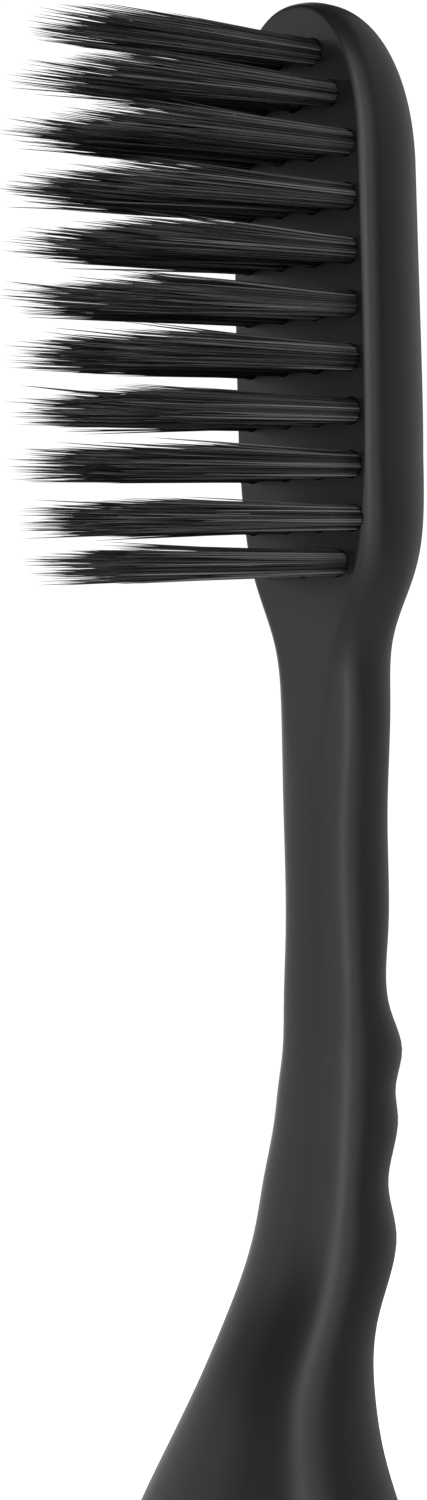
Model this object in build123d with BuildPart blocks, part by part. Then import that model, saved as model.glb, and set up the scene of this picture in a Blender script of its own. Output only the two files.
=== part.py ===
from build123d import *
import os
import numpy as np

# ---------------------------------------------------------------- driving dimensions (mm)
# The brush stands on its butt: +Z runs up to the head, the bristles point along -Y.
overall_length = 190.0
butt_rounding = 2.0            # radius around the flat end of the handle
corner_power = 2.5             # section shape: 2 is an ellipse, more is squarer

head_half_width = 4.5
head_back = 7.75               # how far behind the handle's axis the head's back lies
cap_height = 7.4               # length of the head's rounded end
cap_power = 2.2                # outline of that end: 2 is an ellipse
cap_back_slope = 0.1           # how fast the back leans forward over the rounded end

face_tilt = 1.74               # degrees that the bristle face leans forward at its top
face_front = 2.2               # how far behind the handle's axis the face's lower end lies
face_runout = 4.0              # how far the face runs on below the head before it curves out
face_runout_radius = 30.0

tuft_diameter = 1.29
hole_clearance = 0.02          # radial, between a tuft and its hole
hole_depth = 3.4
edge_wall = 0.47               # plastic left between an outer hole and the face's edge
top_margin = 2.6               # from the end of the head to the first row
first_gap = 2.05
second_gap = 2.4
row_pitch = 2.5
last_gap = 2.1
full_rows = 8
full_row_tufts = 4
end_margin = 0.75              # from the last row to where the neck begins

bristle_length = 15.8          # length above the face
bristle_taper_length = 4.0     # the pointed last stretch
bristle_spread = 0.16          # how far a tuft's side opens out over its length
bristle_tip_radius = 0.3

anchor_thickness = 0.25
anchor_height = 1.3
anchor_bite = 0.2              # how far each end of an anchor cuts into the hole's wall
fold_thickness = 0.5           # filaments bent under the anchor
anchor_clearance = 0.01

# ---------------------------------------------------------------- derived sizes
hole_radius = tuft_diameter / 2 + hole_clearance
row_tufts = [2, 3] + [full_row_tufts] * full_rows + [3]
row_gaps = [first_gap, second_gap] + [row_pitch] * (full_rows - 1) + [last_gap]
row_drops = [top_margin + sum(row_gaps[:row]) for row in range(len(row_tufts))]
head_length = row_drops[-1] + end_margin
head_end = overall_length - head_length
cap_base = overall_length - cap_height
handle_top = head_end - 63.0   # below this height the handle is a plain tapering bar

# The outline's stations. Each pair is a height and a distance from the handle's axis.
# Those of the head hang from its two ends, those of the neck, of the finger waves and of
# the swelling grip are drops below the head, and the plain bar's are shares of its height.
neck_sides = [(0, 3.9), (3, 2.75), (6, 2.5), (13, 2.3), (21, 2.5), (29, 3.0), (34, 3.45),
              (38, 3.95), (42, 5.4), (46, 6.85), (52, 7.8), (63, 8.0)]
neck_fronts = [(0, 0.85), (5, 1.85), (12, 2.15), (21, 2.25), (29, 1.15), (34, -0.45),
               (38, -2.7), (42, -4.55), (46, -6.2), (51, -6.9), (63, -7.1)]
neck_backs = [(2, 6.95), (5, 6.9), (11, 6.8), (17, 6.85), (20.6, 6.9), (22.7, 7.8),
              (24.4, 7.2), (25.9, 7.35), (28.8, 6.4), (31.4, 6.95), (35, 5.45), (38.5, 4.85),
              (41.5, 4.8), (46, 5.9), (51, 6.9), (63, 7.3)]
bar_shares = [0.0, 0.2, 0.5, 0.8]
bar_sides = [5.4, 6.1, 6.5, 7.3]
bar_fronts = [-4.7, -5.2, -5.5, -6.1]
bar_backs = [4.7, 5.1, 5.4, 6.2]


def natural_spline(stations):
    """Return the smooth curve (natural cubic spline) through (height, value) stations."""
    knots, values = np.array(sorted(stations), float).T
    steps = np.diff(knots)
    slopes = np.diff(values) / steps
    matrix = np.eye(len(knots))
    right_side = np.zeros(len(knots))
    for i in range(1, len(knots) - 1):
        matrix[i, i - 1:i + 2] = steps[i - 1], 2 * (steps[i - 1] + steps[i]), steps[i]
        right_side[i] = 6 * (slopes[i] - slopes[i - 1])
    bends = np.linalg.solve(matrix, right_side)

    def curve(height):
        i = int(np.clip(np.searchsorted(knots, height) - 1, 0, len(steps) - 1))
        up, down, step = height - knots[i], knots[i + 1] - height, steps[i]
        return ((bends[i] * down**3 + bends[i + 1] * up**3) / (6 * step)
                + (values[i] / step - bends[i] * step / 6) * down
                + (values[i + 1] / step - bends[i + 1] * step / 6) * up)

    return curve


def outline(head, neck, bar):
    """Join the head's, the neck's and the bar's stations into one smooth outline."""
    below = [(head_end - drop, value) for drop, value in neck]
    plain = [(share * handle_top, value) for share, value in zip(bar_shares, bar)]
    return natural_spline(plain + below + head)


head_sides = [(head_end + 4, head_half_width - 0.05), (cap_base - 10, head_half_width + 0.05),
              (cap_base, head_half_width)]
head_fronts = [(head_end + 6, -1.0)]
head_backs = [(head_end + 1, head_back - 0.05), (head_end + 5, head_back + 0.3),
              (cap_base - 8, head_back), (cap_base, head_back - 0.4)]
side_at = outline(head_sides, neck_sides, bar_sides)
front_at = outline(head_fronts, neck_fronts, bar_fronts)
back_at = outline(head_backs, neck_backs, bar_backs)


def section_points(height, count=24):
    """Points round the body at one height: a superellipse, shrinking over the head's end."""
    side = side_at(min(height, cap_base))
    front = front_at(min(height, head_end + 6))
    back = back_at(min(height, cap_base)) - cap_back_slope * max(height - cap_base, 0)
    middle, half_depth = (front + back) / 2, (back - front) / 2
    rise = (max(height - cap_base, 0) / cap_height) ** cap_power
    points = []
    for turn in np.arange(count) * 2 * np.pi / count:
        across, along = np.cos(turn), np.sin(turn)
        reach = (rise + (1 - rise) * abs(across) ** cap_power) ** (1 / cap_power)
        x = side * (1 - rise) ** (1 / cap_power) * across
        y = middle + half_depth * np.sign(along) * max(1 - reach**corner_power, 0) ** (1 / corner_power)
        points.append((x, y))
    return points


def face_y(height):
    """How far behind the handle's axis the flat bristle face lies at one height."""
    return face_front - (height - head_end) * np.tan(np.radians(face_tilt))


# A frame on the bristle face at the end of the head: its X runs across the brush, its Y
# up the face, and its Z out along the bristles.
face_plane = Plane(origin=(0, face_y(overall_length), overall_length), x_dir=(1, 0, 0),
                   z_dir=(0, -np.cos(np.radians(face_tilt)), -np.sin(np.radians(face_tilt))))


def face_half_width(height):
    """Half the width of the flat bristle face at one height below the rounded end."""
    front, back = front_at(min(height, head_end + 6)), back_at(height)
    inset = abs(face_y(height) - (front + back) / 2) / ((back - front) / 2)
    return side_at(height) * (1 - inset**corner_power) ** (1 / corner_power)


# The middle rows fill the face between its two edge walls. The rows of two and three
# stand a little wider apart.
column_pitch = (2 * (face_half_width(cap_base - 2) - edge_wall - hole_radius)
                / (full_row_tufts - 1))
row_pitches = {2: column_pitch * 1.13, 3: column_pitch * 1.04, full_row_tufts: column_pitch}
tuft_places = {}
for row, (tufts, drop) in enumerate(zip(row_tufts, row_drops), start=1):
    for column in range(tufts):
        across = (column - (tufts - 1) / 2) * row_pitches[tufts]
        tuft_places[f"tuft_r{row:02d}_c{column + 1}"] = (across, -drop)
anchor_width = 2 * (hole_radius + anchor_bite)
anchor_middle = -hole_depth + fold_thickness + anchor_height / 2

# ---------------------------------------------------------------- the handle
# One moulding: head, neck, finger waves and grip, lofted from the butt upwards.
bar_levels = np.linspace(0, handle_top, 6)[:-1]
grip_levels = np.arange(handle_top, head_end - 36, 4.0)
wave_levels = np.arange(head_end - 36, head_end - 18, 1.2)
neck_levels = np.arange(head_end - 18, head_end - 6, 4.0)
shoulder_levels = np.arange(head_end - 6, head_end + 6, 2.0)
head_levels = np.linspace(head_end + 6, cap_base, 4)
cap_levels = cap_base + cap_height * np.sin(np.radians([20, 38, 54, 66, 76, 84]))
levels = np.concatenate([bar_levels, grip_levels, wave_levels, neck_levels,
                         shoulder_levels, head_levels, cap_levels])

with BuildPart() as handle:
    for level in levels:
        with BuildSketch(Plane.XY.offset(level)):
            with BuildLine():
                Spline(*section_points(level), periodic=True)
            make_face()
    loft()
    butt_edges = handle.faces().sort_by(Axis.Z)[0].edges()
    fillet(butt_edges, radius=butt_rounding)
    # The flat bristle face, running out in a slow curve on the neck.
    with BuildSketch(Plane.YZ):
        with BuildLine():
            above = overall_length + 5
            runout = head_end - face_runout
            face_line = Line((face_y(above), above), (face_y(runout), runout))
            curve_out = JernArc(start=face_line @ 1, tangent=face_line % 1,
                                radius=face_runout_radius, arc_size=-25)
            Polyline(curve_out @ 1, (-30, (curve_out @ 1).Y), (-30, above), (face_y(above), above))
        make_face()
    extrude(amount=2 * head_half_width, both=True, mode=Mode.SUBTRACT)
    # Blind tuft holes, each with the slot that its anchor cuts across it.
    with BuildSketch(face_plane):
        with Locations(*tuft_places.values()):
            Circle(hole_radius)
    extrude(amount=-hole_depth, mode=Mode.SUBTRACT)
    with BuildSketch(face_plane.offset(anchor_middle)):
        with Locations(*tuft_places.values()):
            Rectangle(anchor_thickness + 2 * anchor_clearance, anchor_width + 2 * anchor_clearance)
    extrude(amount=anchor_height / 2 + anchor_clearance, both=True, mode=Mode.SUBTRACT)
handle.part.label = "handle"

# ---------------------------------------------------------------- the anchors
# Flat wire staples, one across each hole: they hold the tufts down by their fold.
with BuildPart() as tuft_anchors:
    with BuildSketch(face_plane.offset(anchor_middle)):
        with Locations(*tuft_places.values()):
            Rectangle(anchor_thickness, anchor_width)
    extrude(amount=anchor_height / 2, both=True)
tuft_anchors.part.label = "tuft_anchors"

# ---------------------------------------------------------------- the tufts
# One bundle of filaments, folded in two under its anchor. It fills its hole, opens out a
# little towards the tips and ends in a point. Every hole gets the same one.
tuft_radius = tuft_diameter / 2
shoulder_height = bristle_length - bristle_taper_length


with BuildPart() as tuft:
    with BuildSketch(Plane.XZ):
        with BuildLine():
            Polyline((0, -hole_depth), (tuft_radius, -hole_depth), (tuft_radius, 0),
                     (tuft_radius + bristle_spread, shoulder_height),
                     (bristle_tip_radius, bristle_length), (0, bristle_length), close=True)
        make_face()
    revolve(axis=Axis.Z)
    with Locations((0, 0, anchor_middle)):
        Box(anchor_thickness + 2 * anchor_clearance, anchor_width,
            anchor_height + 2 * anchor_clearance, mode=Mode.SUBTRACT)

# ---------------------------------------------------------------- export
os.makedirs("parts", exist_ok=True)
export_step(handle.part, "parts/handle.step")
export_step(tuft_anchors.part, "parts/tuft_anchors.step")
for name, place in tuft_places.items():
    standing_tuft = tuft.part.moved(face_plane.location * Location((*place, 0)))
    standing_tuft.label = name
    export_step(standing_tuft, f"parts/{name}.step")
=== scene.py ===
import bpy
import numpy as np
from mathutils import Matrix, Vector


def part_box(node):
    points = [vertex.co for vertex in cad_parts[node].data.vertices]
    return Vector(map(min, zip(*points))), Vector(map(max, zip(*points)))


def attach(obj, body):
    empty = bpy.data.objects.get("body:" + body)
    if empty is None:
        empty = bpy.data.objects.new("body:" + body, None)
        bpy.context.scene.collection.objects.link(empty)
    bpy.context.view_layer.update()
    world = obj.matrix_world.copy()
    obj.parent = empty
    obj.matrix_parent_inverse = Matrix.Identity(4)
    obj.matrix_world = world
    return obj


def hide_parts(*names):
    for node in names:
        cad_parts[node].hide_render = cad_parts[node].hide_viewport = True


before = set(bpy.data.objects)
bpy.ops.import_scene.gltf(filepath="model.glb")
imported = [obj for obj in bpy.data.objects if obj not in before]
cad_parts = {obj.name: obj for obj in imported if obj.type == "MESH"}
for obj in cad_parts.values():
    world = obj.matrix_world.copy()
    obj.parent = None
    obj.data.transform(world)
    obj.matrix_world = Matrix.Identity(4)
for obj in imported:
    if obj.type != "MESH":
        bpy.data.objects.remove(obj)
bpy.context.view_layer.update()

# ==================================================================== handle
# One injection moulding in black polypropylene: head, neck, finger waves and grip.
# The mould leaves a satin skin all over, a crisp flat face for the bristles, and
# forty blind holes in that face.

MM = 0.001                     # the sizes are in millimetres, and the meshes in metres
overall_length = 190.0
butt_rounding = 2.0            # radius around the flat end of the handle
corner_power = 2.5             # section shape: 2 is an ellipse, more is squarer

# Rows of tufts, counted from the end of the head.
row_tufts = [2, 3] + [4] * 8 + [3]
row_gaps = [2.05, 2.4] + [2.5] * 7 + [2.1]
top_margin = 2.6               # from the end of the head to the first row
end_margin = 0.75              # from the last row to where the neck begins
row_drops = [top_margin + sum(row_gaps[:row]) for row in range(len(row_tufts))]

head_length = row_drops[-1] + end_margin
head_end = overall_length - head_length
head_front_end = head_end + 6  # above this the sections' front stays where it is
cap_height = 7.4               # length of the head's rounded end
cap_base = overall_length - cap_height
cap_power = 2.2                # outline of that end: 2 is an ellipse
cap_back_slope = 0.1           # how fast the back leans forward over the rounded end
face_front = 2.2               # how far behind the handle's axis the face's lower end lies
face_tilt = np.radians(1.74)   # how far the bristle face leans forward at its top
face_runout = 4.0              # how far the face runs on below the head before it curves out
face_runout_radius = 30.0
face_edge = 0.14               # softness of the crease round the flat face
edge_rounding = 2.4            # radius of the sides where they come up to that crease
edge_depth = 1.05              # how deep behind the crease this rounding reaches
handle_top = head_end - 63.0   # below this height the handle is a plain tapering bar

# The outline's stations. Each pair is a place along the handle and a distance from its axis.
# The head's places are heights. Those of the neck, the finger waves and the swelling grip
# are drops below the head, and the plain bar's are shares of its height.
neck_sides = [(0, 3.9), (3, 2.75), (6, 2.5), (13, 2.3), (21, 2.5), (29, 3.0), (34, 3.45),
              (38, 3.95), (42, 5.4), (46, 6.85), (52, 7.8), (63, 8.0)]
neck_fronts = [(0, 0.85), (5, 1.85), (12, 2.15), (21, 2.25), (29, 1.15), (34, -0.45),
               (38, -2.7), (42, -4.55), (46, -6.2), (51, -6.9), (63, -7.1)]
neck_backs = [(2, 6.95), (5, 6.9), (11, 6.8), (17, 6.85), (20.6, 6.9), (22.7, 7.8),
              (24.4, 7.2), (25.9, 7.35), (28.8, 6.4), (31.4, 6.95), (35, 5.45), (38.5, 4.85),
              (41.5, 4.8), (46, 5.9), (51, 6.9), (63, 7.3)]
bar_shares = [0.0, 0.2, 0.5, 0.8]
bar_sides = [5.4, 6.1, 6.5, 7.3]
bar_fronts = [-4.7, -5.2, -5.5, -6.1]
bar_backs = [4.7, 5.1, 5.4, 6.2]
head_sides = [(head_end + 4, 4.45), (cap_base - 10, 4.55), (cap_base, 4.5)]
head_fronts = [(head_front_end, -1.0)]
head_backs = [(head_end + 1, 7.7), (head_end + 5, 8.05), (cap_base - 8, 7.75), (cap_base, 7.35)]


def outline(head, neck, bar):
    """The natural cubic spline through the stations, as a function of an array of heights:
    between two knots, (M0 w^3 + M1 u^3) / 6h + (v0/h - M0 h/6) w + (v1/h - M1 h/6) u,
    with u and w the distances from the lower and the upper knot, h their spacing, v the
    stations' values and M the second slopes."""
    stations = [(share * handle_top, value) for share, value in zip(bar_shares, bar)]
    stations += [(head_end - drop, value) for drop, value in neck] + head
    knots, values = np.array(sorted(stations), float).T
    steps = np.diff(knots)
    matrix = np.eye(len(knots))
    right_side = np.zeros(len(knots))
    inner = np.arange(1, len(knots) - 1)
    matrix[inner, inner - 1] = steps[:-1]
    matrix[inner, inner] = 2 * (steps[:-1] + steps[1:])
    matrix[inner, inner + 1] = steps[1:]
    right_side[inner] = 6 * np.diff(np.diff(values) / steps)
    bends = np.linalg.solve(matrix, right_side)

    def curve(heights):
        i = np.clip(np.searchsorted(knots, heights) - 1, 0, len(steps) - 1)
        up, down, step = heights - knots[i], knots[i + 1] - heights, steps[i]
        return ((bends[i] * down**3 + bends[i + 1] * up**3) / (6 * step)
                + (values[i] / step - bends[i] * step / 6) * down
                + (values[i + 1] / step - bends[i + 1] * step / 6) * up)

    return curve


side_at = outline(head_sides, neck_sides, bar_sides)
front_at = outline(head_fronts, neck_fronts, bar_fronts)
back_at = outline(head_backs, neck_backs, bar_backs)


def face_y(heights):
    """The bristle face: y = front - (z - z0) tan(tilt) with z0 the head's lower end. Below
    its runout it curves out forwards by d^2 / 2R, with d the drop below the runout."""
    drop = np.maximum(head_end - face_runout - heights, 0)
    flat = face_front - (heights - head_end) * np.tan(face_tilt)
    return flat - drop**2 / (2 * face_runout_radius)


def handle_surface(heights, turns):
    """A superellipse section at each height: |y|^n + g^n = 1 with g^m = k + (1 - k)|cos t|^m
    and x = (1 - k)^(1/m) cos t, as shares of the section's half depth and half width. Here k
    grows from 0 to 1 over the head's rounded end, so that the sections close there.
    At a depth d behind the bristle face the sides are drawn in by R - sqrt(R^2 - (D - d)^2).
    The front is then held behind the face by the smooth maximum (a + b + sqrt((a-b)^2 + e^2)) / 2.
    Over the butt's edge each section is drawn in by R - sqrt(R^2 - (R - z)^2)."""
    z = heights[:, None]
    across, along = np.cos(turns)[None, :], np.sin(turns)[None, :]
    side = side_at(np.minimum(z, cap_base))
    front = front_at(np.minimum(z, head_front_end))
    back = back_at(np.minimum(z, cap_base)) - cap_back_slope * np.maximum(z - cap_base, 0)
    below = np.clip(butt_rounding - z, 0, butt_rounding)
    inset = butt_rounding - np.sqrt(butt_rounding**2 - below**2)
    middle, half_depth = (front + back) / 2, (back - front) / 2 - inset
    rise = np.clip((z - cap_base) / cap_height, 0, 1) ** cap_power
    reach = (rise + (1 - rise) * np.abs(across) ** cap_power) ** (1 / cap_power)
    x = (side - inset) * (1 - rise) ** (1 / cap_power) * across
    depth_share = np.maximum(1 - reach**corner_power, 0) ** (1 / corner_power)
    y = middle + half_depth * np.sign(along) * depth_share
    face = face_y(z)
    shallow = np.clip(edge_depth - (y - face), 0, edge_depth)
    x = x * (1 - (edge_rounding - np.sqrt(edge_rounding**2 - shallow**2)) / side)
    y = (y + face + np.sqrt((y - face) ** 2 + face_edge**2)) / 2
    return np.stack([x, y, np.broadcast_to(z, x.shape)], -1)


def full_turn(count):
    """Angles all the way round, count of them and evenly spaced."""
    return np.linspace(0, 2 * np.pi, count, endpoint=False)


def closed_rings(rings):
    """A skin over a stack of closed rings, bottom to top, with a point at the middle of the
    first ring and of the last one, so that both ends are closed."""
    count, around = rings.shape[:2]
    points = np.concatenate([rings.reshape(-1, 3), rings[[0, -1]].mean(axis=1)])
    here = np.arange(around)
    there = (here + 1) % around
    ring = np.arange(count - 1)[:, None] * around
    above = ring + around
    walls = np.stack([ring + here, ring + there, above + there, above + here], -1)
    last = (count - 1) * around
    low_middle, high_middle = count * around, count * around + 1
    bottom = np.stack([np.full(around, low_middle), there, here], -1)
    top = np.stack([np.full(around, high_middle), last + here, last + there], -1)
    return points, walls.reshape(-1, 4).tolist() + bottom.tolist() + top.tolist()


def add_mesh(name, points, faces, material):
    """A smooth-shaded piece at the origin, from points in millimetres."""
    mesh = bpy.data.meshes.new(name)
    mesh.from_pydata((points * MM).tolist(), [], faces)
    mesh.shade_smooth()
    mesh.materials.append(material)
    piece = bpy.data.objects.new(name, mesh)
    bpy.context.scene.collection.objects.link(piece)
    return piece


def mottle_group():
    """Two noises on the piece's own coordinates: a broad one for colour and gloss that drift
    along the piece, and a fine one for the unevenness of its skin."""
    group = bpy.data.node_groups.new("mottle", "ShaderNodeTree")
    sockets = group.interface
    sockets.new_socket("Broad Scale", in_out="INPUT", socket_type="NodeSocketFloat")
    sockets.new_socket("Fine Scale", in_out="INPUT", socket_type="NodeSocketFloat")
    sockets.new_socket("Drift", in_out="OUTPUT", socket_type="NodeSocketFloat")
    sockets.new_socket("Skin", in_out="OUTPUT", socket_type="NodeSocketFloat")
    nodes, links = group.nodes, group.links
    given, result = nodes.new("NodeGroupInput"), nodes.new("NodeGroupOutput")
    place = nodes.new("ShaderNodeTexCoord")
    for scale, output, detail in (("Broad Scale", "Drift", 3), ("Fine Scale", "Skin", 2)):
        noise = nodes.new("ShaderNodeTexNoise")
        noise.inputs["Detail"].default_value = detail
        links.new(place.outputs["Object"], noise.inputs["Vector"])
        links.new(given.outputs[scale], noise.inputs["Scale"])
        links.new(noise.outputs["Fac"], result.inputs[output])
    return group


mottle = mottle_group()
drift_range = (0.3, 0.7)       # most of the broad noise lies between these


def mottled(material, broad_scale, fine_scale, colours, roughness, bump_height):
    """Gives a material a colour and a roughness that drift, each between its two values, and
    a finely uneven skin. Returns its nodes and links, the colour's mix and the shader."""
    material.use_nodes = True
    nodes, links = material.node_tree.nodes, material.node_tree.links
    shader = nodes["Principled BSDF"]
    unevenness = nodes.new("ShaderNodeGroup")
    unevenness.node_tree = mottle
    unevenness.inputs["Broad Scale"].default_value = broad_scale
    unevenness.inputs["Fine Scale"].default_value = fine_scale
    tint = nodes.new("ShaderNodeMix")
    tint.data_type = "RGBA"
    tint.inputs["A"].default_value = (*colours[0], 1)
    tint.inputs["B"].default_value = (*colours[1], 1)
    links.new(unevenness.outputs["Drift"], tint.inputs["Factor"])
    links.new(tint.outputs["Result"], shader.inputs["Base Color"])
    gloss = nodes.new("ShaderNodeMapRange")
    gloss.inputs["From Min"].default_value = drift_range[0]
    gloss.inputs["From Max"].default_value = drift_range[1]
    gloss.inputs["To Min"].default_value = roughness[0]
    gloss.inputs["To Max"].default_value = roughness[1]
    links.new(unevenness.outputs["Drift"], gloss.inputs["Value"])
    links.new(gloss.outputs["Result"], shader.inputs["Roughness"])
    bump = nodes.new("ShaderNodeBump")
    bump.inputs["Distance"].default_value = bump_height
    bump.inputs["Strength"].default_value = 1.0
    links.new(unevenness.outputs["Skin"], bump.inputs["Height"])
    links.new(bump.outputs["Normal"], shader.inputs["Normal"])
    return nodes, links, tint, shader


satin_black = bpy.data.materials.new("satin_black_polypropylene")
mottled(satin_black, broad_scale=90, fine_scale=5200,
        colours=[(0.0088, 0.0088, 0.0092), (0.0128, 0.0128, 0.0132)],
        roughness=(0.37, 0.43), bump_height=0.0000012)

# The mesh's rings: by even steps of turn over the butt's edge and over the head's rounded
# end, and evenly spaced along each stretch between them.
handle_sides = 216
bar_ring_gap = 1.2
grip_ring_gap = 0.4
head_ring_gap = 0.5
grip_rings_end = head_end + 12
butt_turns = np.radians(np.arange(0, 90, 10))
cap_turns = np.radians(np.arange(0, 89.5, 2.5))
levels = np.concatenate([butt_rounding * (1 - np.cos(butt_turns)),
                         np.arange(butt_rounding, handle_top, bar_ring_gap),
                         np.arange(handle_top, grip_rings_end, grip_ring_gap),
                         np.arange(grip_rings_end, cap_base, head_ring_gap),
                         cap_base + cap_height * np.sin(cap_turns)])
handle_points, handle_faces = closed_rings(handle_surface(levels, full_turn(handle_sides)))
handle = add_mesh("toothbrush_handle", handle_points, handle_faces, satin_black)

# The holes stand square to the face. Places on it are measured from its point level with
# the end of the head.
tuft_radius = 0.645
hole_clearance = 0.02          # between a tuft and its hole
hole_radius = tuft_radius + hole_clearance
hole_depth = 3.4
hole_sides = 32
cutter_top = 1.0               # how far out of the face the hole cutters start
face_origin = np.array([0, face_y(overall_length), overall_length])
face_up = np.array([0, -np.sin(face_tilt), np.cos(face_tilt)])
face_out = np.array([0, -np.cos(face_tilt), -np.sin(face_tilt)])
face_across = np.array([1.0, 0, 0])


def on_face(across, up, out):
    """Points from their distances across, up and out of the bristle face: the face's origin
    plus each distance times its own direction. The three arrays broadcast together."""
    return (face_origin + across[..., None] * face_across
            + up[..., None] * face_up + out[..., None] * face_out)


def tuft_places():
    """Each tuft's node name, with its place across and up the face. The place across is read
    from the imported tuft's own box."""
    places = {}
    for row, (tufts, drop) in enumerate(zip(row_tufts, row_drops), start=1):
        for column in range(tufts):
            node = f"tuft_r{row:02d}_c{column + 1}"
            low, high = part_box(node)
            places[node] = ((low.x + high.x) / 2 / MM, -drop)
    return places


places = tuft_places()
hole_turns = full_turn(hole_sides)
cutter_outs = np.array([-hole_depth, cutter_top])
cutter_points, cutter_faces = [], []
for across, up in places.values():
    rims = on_face(across + hole_radius * np.cos(hole_turns),
                   up + hole_radius * np.sin(hole_turns), cutter_outs[:, None])
    points, faces = closed_rings(rims)
    start = sum(len(done) for done in cutter_points)
    cutter_points.append(points)
    cutter_faces += [[corner + start for corner in face] for face in faces]
cutter = add_mesh("hole_cutters", np.concatenate(cutter_points), cutter_faces, satin_black)
drill = handle.modifiers.new("holes", "BOOLEAN")
drill.operation = "DIFFERENCE"
drill.solver = "MANIFOLD"
drill.object = cutter
cut_handle = handle.evaluated_get(bpy.context.evaluated_depsgraph_get())
drilled = bpy.data.meshes.new_from_object(cut_handle)
handle.modifiers.clear()
handle.data = drilled
bpy.data.objects.remove(cutter)
crease_angle = np.radians(40)  # only sharper bends, such as the holes' rims, show as creases
drilled.shade_smooth()
drilled.set_sharp_from_angle(angle=crease_angle)
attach(handle, "root")
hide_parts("handle")

# ============================================================== tuft anchors
# Small plates cut from flat nickel-silver wire, driven across the holes: each holds one
# tuft down by its fold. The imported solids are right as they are, and get a drawn metal.

drawn_wire = bpy.data.materials.new("nickel_silver_wire")
mottled(drawn_wire, broad_scale=700, fine_scale=9000,
        colours=[(0.62, 0.57, 0.44), (0.74, 0.69, 0.55)],
        roughness=(0.22, 0.4), bump_height=0.000002)
drawn_wire.node_tree.nodes["Principled BSDF"].inputs["Metallic"].default_value = 1.0
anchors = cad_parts["tuft_anchors"]
anchors.data.materials.clear()
anchors.data.materials.append(drawn_wire)

# ===================================================================== tufts
# Bundles of black nylon filaments, folded over their anchors and packed tight in the
# holes. They open out a little with height, and each filament is ground to a long fine
# point, so that a tuft ends in a ragged cone.

filaments_per_tuft = 120       # sixty, folded in two
filament_radius = 0.047
filament_sides = 5
bundle_radius = 0.575          # to the middle of the outermost filaments
golden_angle = np.pi * (3 - np.sqrt(5))
anchor_top = -1.6              # where filaments start, at their anchor's upper edge in the hole
ring_shares = np.array([0.0, 0.3, 0.55, 0.7, 0.8, 0.88, 0.95])   # rings along a filament
tip_lead = 0.6                 # a tip carries on sideways by this share of the last step

longest_range = (15.9, 16.5)   # the longest filament of a tuft, above the face
outer_loss = 1.5               # how much shorter the outermost filaments are
random_loss = 5.8              # how much shorter a filament can be by chance
loss_power = 1.1               # above 1, small losses are commoner than large ones
taper_range = (4.6, 7.4)       # the ground point's length
taper_power = 0.7              # below 1, the point is blunter than a cone
opening = 0.017                # slope of the outermost filaments, as they open out
opening_scatter = 0.004        # how much that slope varies
stray_share = 0.07             # share of filaments that stand off from the bundle
stray_opening = 0.022          # how much steeper their slope is
bend_scatter = 0.07            # how far tips wander sideways

black_nylon = bpy.data.materials.new("black_nylon_filament")
nylon_nodes, nylon_links, nylon_tint, nylon_shader = mottled(
    black_nylon, broad_scale=900, fine_scale=14000,
    colours=[(0.012, 0.012, 0.0125), (0.02, 0.02, 0.0205)],
    roughness=(0.3, 0.42), bump_height=0.000001)
shade = nylon_nodes.new("ShaderNodeAttribute")
shade.attribute_name = "filament_shade"
lift = nylon_nodes.new("ShaderNodeMix")
lift.data_type = "RGBA"
lift.inputs["B"].default_value = (0.21, 0.21, 0.212, 1)
nylon_links.new(shade.outputs["Fac"], lift.inputs["Factor"])
nylon_links.new(nylon_tint.outputs["Result"], lift.inputs["A"])
nylon_links.new(lift.outputs["Result"], nylon_shader.inputs["Base Color"])
shade_power = 2.5              # above 1, most filaments stay dark and a few are pale


def filament_bundle(rng):
    """Rings and tips of one tuft's filaments, as distances across, up and out of the face.
    Filament i stands at radius R q with q = sqrt((i + 1/2) / N), at i times the golden angle
    from a random start. It is as long as the longest, less a q^2 and less c r^p with r drawn
    at random. At height h above the face it has moved outwards by s h, and sideways by b u^2
    with u its share of the way from the anchor to the tip. Over its last stretch T it narrows
    as (length - h) / T to the taper's power."""
    index = np.arange(filaments_per_tuft)
    share = np.sqrt((index + 0.5) / filaments_per_tuft)
    turn = index * golden_angle + rng.uniform(0, 2 * np.pi)
    root = bundle_radius * share[:, None] * np.stack([np.cos(turn), np.sin(turn)], -1)
    longest = rng.uniform(*longest_range)
    chance = rng.random(filaments_per_tuft) ** loss_power
    length = longest - outer_loss * share**2 - random_loss * chance
    slope = opening * share + opening_scatter * rng.standard_normal(filaments_per_tuft)
    stray = rng.random(filaments_per_tuft) < stray_share
    slope = np.where(stray, slope + stray_opening, slope)
    bend = bend_scatter * rng.standard_normal((filaments_per_tuft, 2))
    taper = rng.uniform(*taper_range, filaments_per_tuft)
    height = anchor_top + (length[:, None] - anchor_top) * ring_shares
    growth = (slope / (bundle_radius * share))[:, None] * np.maximum(height, 0)
    centre = (root[:, None, :] * (1 + growth[..., None])
              + bend[:, None, :] * ring_shares[None, :, None] ** 2)
    point_share = np.clip((length[:, None] - height) / taper[:, None], 0, 1)
    radius = filament_radius * point_share ** taper_power
    around = full_turn(filament_sides)
    across = centre[..., 0, None] + radius[..., None] * np.cos(around)
    up = centre[..., 1, None] + radius[..., None] * np.sin(around)
    tip = centre[:, -1] + (centre[:, -1] - centre[:, -2]) * tip_lead
    return across, up, height[..., None], tip, length


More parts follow.
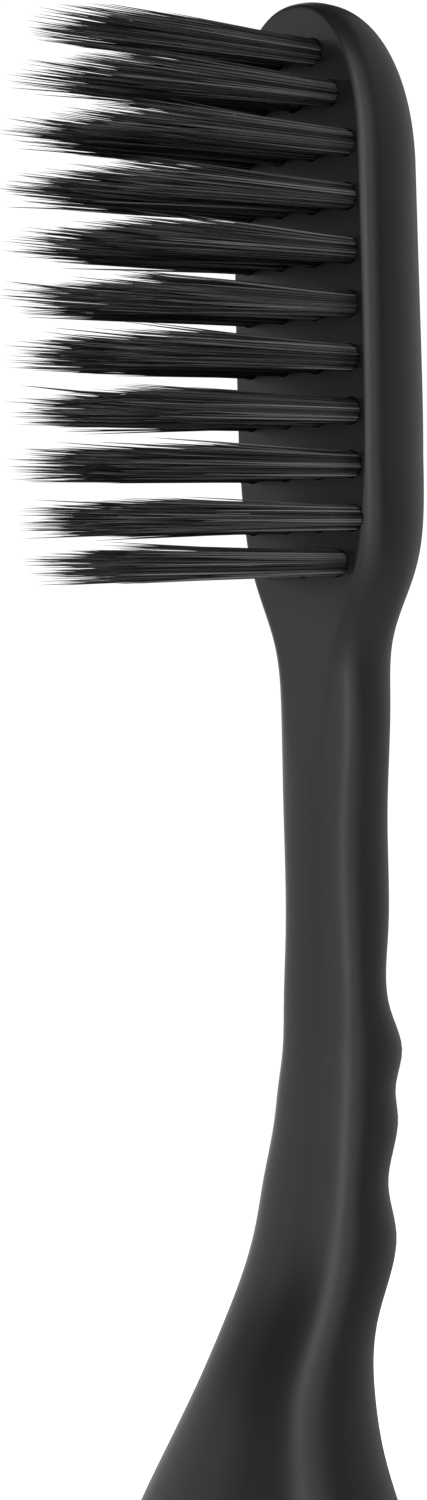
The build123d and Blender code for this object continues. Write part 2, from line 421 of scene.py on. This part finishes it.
def add_tuft(node, place, seed):
    """One tuft as a single mesh of closed tapering filaments, standing at its place. Each
    filament has a closed root, walls between its rings, and a fan of faces up to its tip,
    all pointing outwards."""
    rng = np.random.default_rng(seed)
    across, up, out, tip, length = filament_bundle(rng)
    count, rings, sides = across.shape
    body = on_face(place[0] + across, place[1] + up, out).reshape(-1, 3)
    tips = on_face(place[0] + tip[:, 0], place[1] + tip[:, 1], length)
    here = np.arange(sides)
    there = (here + 1) % sides
    ring = (np.arange(rings - 1) * sides)[:, None]
    above = ring + sides
    one = np.stack([ring + here, ring + there, above + there, above + here], -1)
    first = (np.arange(count) * rings * sides)[:, None]
    last = first + (rings - 1) * sides
    walls = (one.reshape(1, -1, 4) + first[..., None]).reshape(-1, 4)
    point = len(body) + np.arange(count)[:, None] + 0 * here
    ends = np.stack([last + here, last + there, point], -1).reshape(-1, 3)
    roots = first + here[::-1]
    piece = add_mesh(node.replace("tuft", "bristles"), np.concatenate([body, tips]),
                     walls.tolist() + ends.tolist() + roots.tolist(), black_nylon)
    shades = rng.random(count) ** shade_power
    attribute = piece.data.attributes.new("filament_shade", "FLOAT", "POINT")
    attribute.data.foreach_set("value", np.concatenate([np.repeat(shades, rings * sides), shades]))
    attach(piece, "root")
    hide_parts(node)


first_seed = 11
for seed, (node, place) in enumerate(places.items(), start=first_seed):
    add_tuft(node, place, seed)

# ==================================================================== studio
# A white floor and a white surround, with softboxes all round the brush: two tall narrow
# ones to the right of the camera, the nearer one the brightest, and four broad weak ones.

white_floor = bpy.data.materials.new("white_floor")
white_floor.use_nodes = True
floor_nodes, floor_links = white_floor.node_tree.nodes, white_floor.node_tree.links
floor_shader = floor_nodes["Principled BSDF"]
floor_shader.inputs["Base Color"].default_value = (0.9, 0.9, 0.9, 1)
floor_shader.inputs["Roughness"].default_value = 0.8
floor_shader.inputs["Emission Color"].default_value = (1, 1, 1, 1)

# The floor glows for the camera's own rays alone, so that it looks plain white.
floor_seen = floor_nodes.new("ShaderNodeLightPath")
floor_links.new(floor_seen.outputs["Is Camera Ray"], floor_shader.inputs["Emission Strength"])

# The floor is a flat disc of rings, the outermost first. The fan over that first ring
# would be a second sheet under the disc, and is left out.
floor_sides = 64
floor_turns = full_turn(floor_sides)
floor_radii = np.array([3.0, 1.5, 0.5, 0.1, 0.02]) / MM
floor_circle = np.stack([np.cos(floor_turns), np.sin(floor_turns), 0 * floor_turns], -1)
floor_points, floor_faces = closed_rings(floor_radii[:, None, None] * floor_circle)
outer_middle = len(floor_points) - 2
floor_faces = [face for face in floor_faces if outer_middle not in face]
floor = add_mesh("floor", floor_points, floor_faces, white_floor)

surround_light = 0.06          # the light that the surround gives
surround_seen = 1.05           # how bright the camera sees it
world = bpy.data.worlds.new("studio")
bpy.context.scene.world = world
world.use_nodes = True
sky_nodes, sky_links = world.node_tree.nodes, world.node_tree.links
sky = sky_nodes["Background"]
sky_seen = sky_nodes.new("ShaderNodeLightPath")
sky_shade = sky_nodes.new("ShaderNodeMapRange")
sky_shade.inputs["To Min"].default_value = surround_light
sky_shade.inputs["To Max"].default_value = surround_seen
sky_links.new(sky_seen.outputs["Is Camera Ray"], sky_shade.inputs["Value"])
sky_links.new(sky_shade.outputs["Result"], sky.inputs["Strength"])
sky.inputs["Color"].default_value = (1, 1, 1, 1)

# The camera stands in front of the brush and to the right, level with the neck, and looks a
# little down and to the left.
middle_row = (face_origin - row_drops[len(row_drops) // 2] * face_up) * MM
camera_azimuth = np.radians(43.37)
camera_distance = 0.1619       # metres, level with the floor
camera_drop = 0.0178           # metres from the middle row down to the lens
camera_yaw = np.radians(1.416)
camera_pitch = np.radians(-1.111)
camera = bpy.data.objects.new("camera", bpy.data.cameras.new("camera"))
camera.data.lens = 81.64
camera.location = middle_row + [camera_distance * np.sin(camera_azimuth),
                                -camera_distance * np.cos(camera_azimuth), -camera_drop]
camera.rotation_euler = (np.pi / 2 + camera_pitch, 0, camera_azimuth + camera_yaw)
bpy.context.scene.collection.objects.link(camera)
bpy.context.scene.camera = camera

softbox_distance = 0.7         # metres from the brush's axis, level with the floor
softbox_aim = 0.155            # metres up that axis, where each softbox points


def add_softbox(name, azimuth, height, size, power):
    """A rectangular light at an azimuth round the brush, facing its axis. The height and the
    size are in metres, and the power in watts."""
    lamp = bpy.data.lights.new(name, "AREA")
    lamp.shape = "RECTANGLE"
    lamp.size, lamp.size_y = size
    lamp.energy = power
    light = bpy.data.objects.new(name, lamp)
    turn = np.radians(azimuth)
    light.location = (softbox_distance * np.sin(turn), -softbox_distance * np.cos(turn), height)
    tilt = np.arctan2(height - softbox_aim, softbox_distance)
    light.rotation_euler = (np.pi / 2 - tilt, 0, turn)
    bpy.context.scene.collection.objects.link(light)


add_softbox("key_strip", azimuth=66, height=0.25, size=(0.22, 1.1), power=3.0)
add_softbox("side_strip", azimuth=95, height=0.25, size=(0.2, 1.1), power=1.0)
add_softbox("front_panel", azimuth=20, height=0.19, size=(0.87, 0.55), power=1.75)
add_softbox("left_panel", azimuth=-52, height=0.19, size=(1.17, 0.6), power=1.95)
add_softbox("back_left_panel", azimuth=245, height=0.25, size=(0.5, 1.1), power=1.7)
add_softbox("back_right_panel", azimuth=172, height=0.25, size=(0.8, 1.1), power=1.4)
bpy.context.scene.view_settings.view_transform = "Standard"
